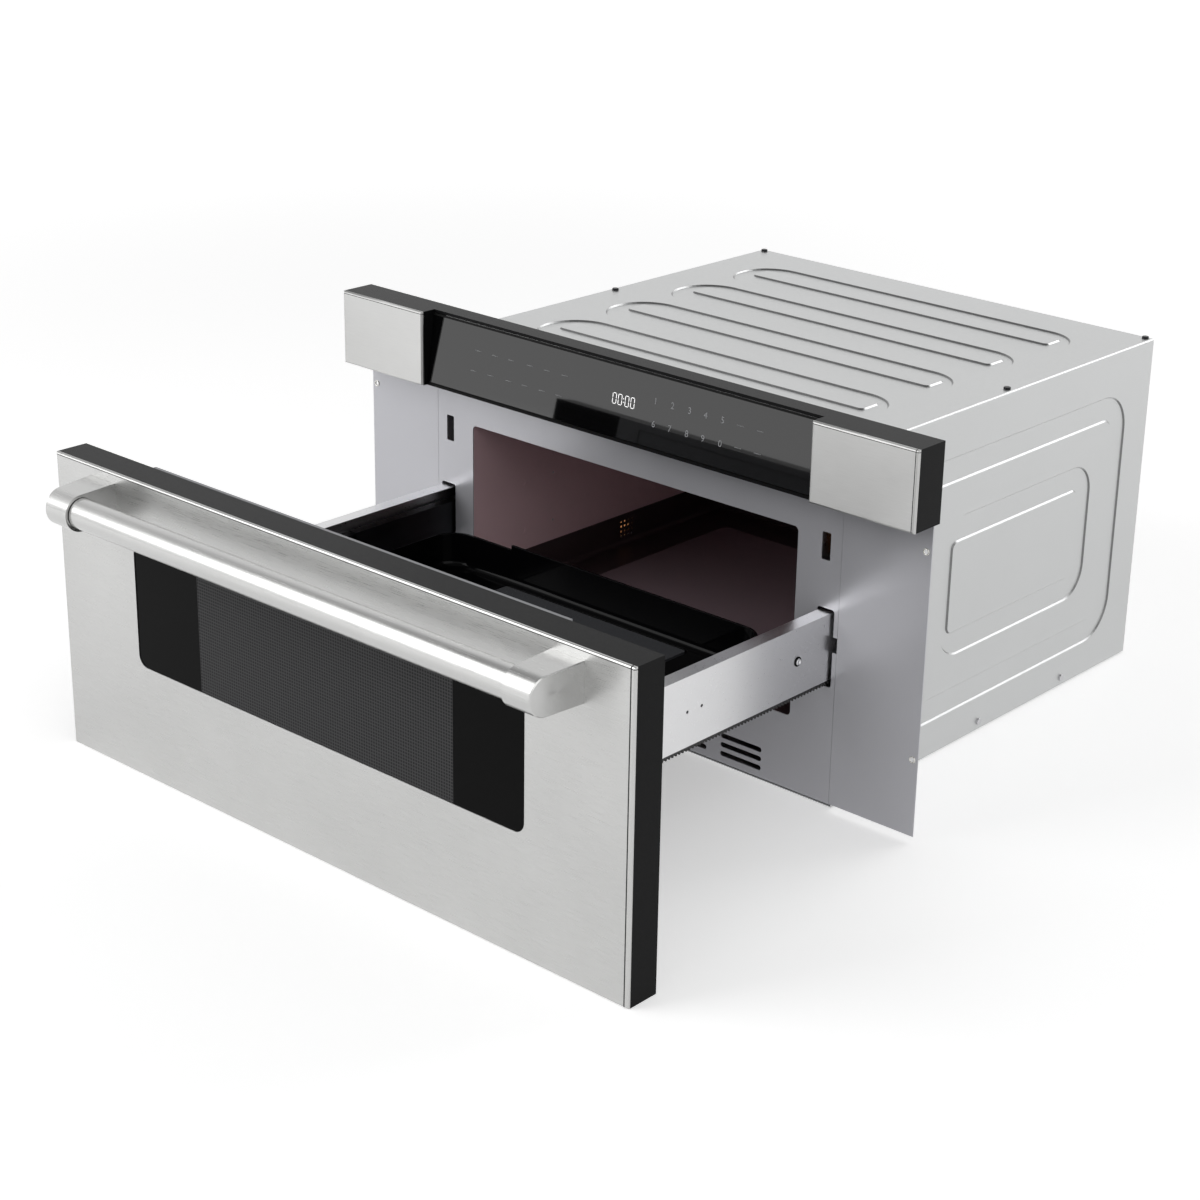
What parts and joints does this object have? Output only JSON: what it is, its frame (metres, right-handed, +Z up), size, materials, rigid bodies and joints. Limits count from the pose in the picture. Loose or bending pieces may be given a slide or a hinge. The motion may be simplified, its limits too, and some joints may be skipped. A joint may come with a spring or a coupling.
{
  "type": "microwave drawer",
  "caption": "Built-in microwave oven with a motor-driven drawer, bar handle, touch-glass control strip and a sheet-steel case with side flanges.",
  "frame": {"origin": "middle of the case's underside, which stands on the cut-out's platform", "axes": "+Z up, -Y towards the user, in the direction the drawer opens, +X to the right seen from the front"},
  "size_m": [0.759, 1.0308, 0.4063],
  "materials": {
    "galvanised_sheet": "galvanised steel sheet, light grey, satin",
    "grey_enamel": "light grey painted steel",
    "stainless_skin": "brushed stainless steel",
    "black_moulding": "black moulded plastic, satin",
    "control_glass": "dark grey touch glass, gloss",
    "window_glass": "black printed glass, gloss",
    "screen_sheet": "black perforated sheet",
    "cavity_enamel": "grey-brown cavity enamel",
    "tray_enamel": "black glossy enamel",
    "glass_ceramic": "grey glass-ceramic",
    "ceramic_plate": "matt ceramic",
    "zinc_dark": "black zinc-plated steel",
    "zinc_bright": "zinc-plated steel",
    "nylon_black": "black nylon",
    "nylon_white": "white nylon",
    "aluminium_part": "aluminium, satin",
    "iron_core": "varnished iron laminations",
    "circuit_board": "green circuit board",
    "lamp_glass": "clear lamp glass",
    "screw_steel": "bright plated screws"
  },
  "bodies": {
    "case": {"wrapper": "galvanised_sheet", "base_pan": "galvanised_sheet", "rear_panel": "galvanised_sheet", "front_plate": "grey_enamel", "latch_plate_right": "grey_enamel", "latch_plate_left": "grey_enamel", "flange_right": "grey_enamel", "flange_left": "grey_enamel", "case_screws": "screw_steel", "cord_gland": "nylon_black", "strip_housing": "black_moulding", "touch_glass": "control_glass", "control_board": "circuit_board", "pad_right": "stainless_skin", "pad_left": "stainless_skin", "cavity_box": "cavity_enamel", "floor_plate": "ceramic_plate", "waveguide": "zinc_bright", "antenna_motor": "nylon_white", "magnetron": "aluminium_part", "fan_frame": "nylon_black", "fan_motor": "zinc_bright", "air_duct": "nylon_white", "transformer": "iron_core", "capacitor": "aluminium_part", "power_board": "circuit_board", "lamp_holder": "zinc_bright", "lamp_bulb": "lamp_glass", "thermal_cutout": "aluminium_part", "drive_motor": "nylon_black", "motor_mount": "zinc_bright", "interlock_brackets": "zinc_bright", "interlock_switches": "nylon_black", "slide_brackets": "zinc_bright", "slide_fixed_right": "zinc_dark", "slide_fixed_left": "zinc_dark"},
    "drawer": {"drawer_skin": "stainless_skin", "drawer_frame": "black_moulding", "window_glass": "window_glass", "window_screen": "screen_sheet", "choke_cover": "grey_enamel", "handle_bar": "stainless_skin", "handle_post_right": "stainless_skin", "handle_post_left": "stainless_skin", "handle_screws": "screw_steel", "rail_right": "galvanised_sheet", "rail_left": "galvanised_sheet", "slide_drawer_right": "zinc_dark", "slide_drawer_left": "zinc_dark", "drive_rack": "nylon_black", "latch_hooks": "nylon_black", "tray": "tray_enamel", "shelf": "glass_ceramic"},
    "slide_right": {"slide_middle_right": "zinc_dark"},
    "slide_left": {"slide_middle_left": "zinc_dark"},
    "pinion": {"drive_pinion": "nylon_white"},
    "fan": {"fan_impeller": "nylon_white"},
    "stirrer": {"antenna": "aluminium_part"},
    "lever_right": {"interlock_lever_right": "zinc_bright"},
    "lever_left": {"interlock_lever_left": "zinc_bright"}
  },
  "joints": [
    {"name": "drawer_travel", "type": "slide", "parent": "case", "child": "drawer", "axis": [0, 1, 0], "range_m": [0, 0.374]},
    {"name": "slide_run_right", "type": "slide", "parent": "case", "child": "slide_right", "axis": [0, 1, 0], "range_m": [0, 0.1871]},
    {"name": "slide_run_left", "type": "slide", "parent": "case", "child": "slide_left", "axis": [0, 1, 0], "range_m": [0, 0.1871]},
    {"name": "pinion_turn", "type": "hinge", "parent": "case", "child": "pinion", "pos_m": [0.259, -0.23775, 0.11882], "axis": [1, 0, 0], "range_deg": [-1800, 0]},
    {"name": "fan_turn", "type": "hinge", "parent": "case", "child": "fan", "pos_m": [0.095, 0.2106, 0.1], "axis": [1, 0, 0], "continuous": true},
    {"name": "stirrer_turn", "type": "hinge", "parent": "case", "child": "stirrer", "pos_m": [0, -0.06455, 0.06], "axis": [0, 0, 1], "continuous": true},
    {"name": "lever_press_right", "type": "hinge", "parent": "case", "child": "lever_right", "pos_m": [0.2545, -0.25285, 0.286], "axis": [1, 0, 0], "range_deg": [0, 8], "stiffness_Nm_per_rad": 0.02, "springref_deg": -11.46},
    {"name": "lever_press_left", "type": "hinge", "parent": "case", "child": "lever_left", "pos_m": [-0.2545, -0.25285, 0.286], "axis": [1, 0, 0], "range_deg": [0, 8], "stiffness_Nm_per_rad": 0.02, "springref_deg": -11.46}
  ],
  "couplings": [
    {"joint": "slide_run_right", "follows": "drawer_travel", "ratio": 0.5},
    {"joint": "slide_run_left", "follows": "drawer_travel", "ratio": 0.5},
    {"joint": "pinion_turn", "follows": "drawer_travel", "rad_per_m": -83.333}
  ]
}
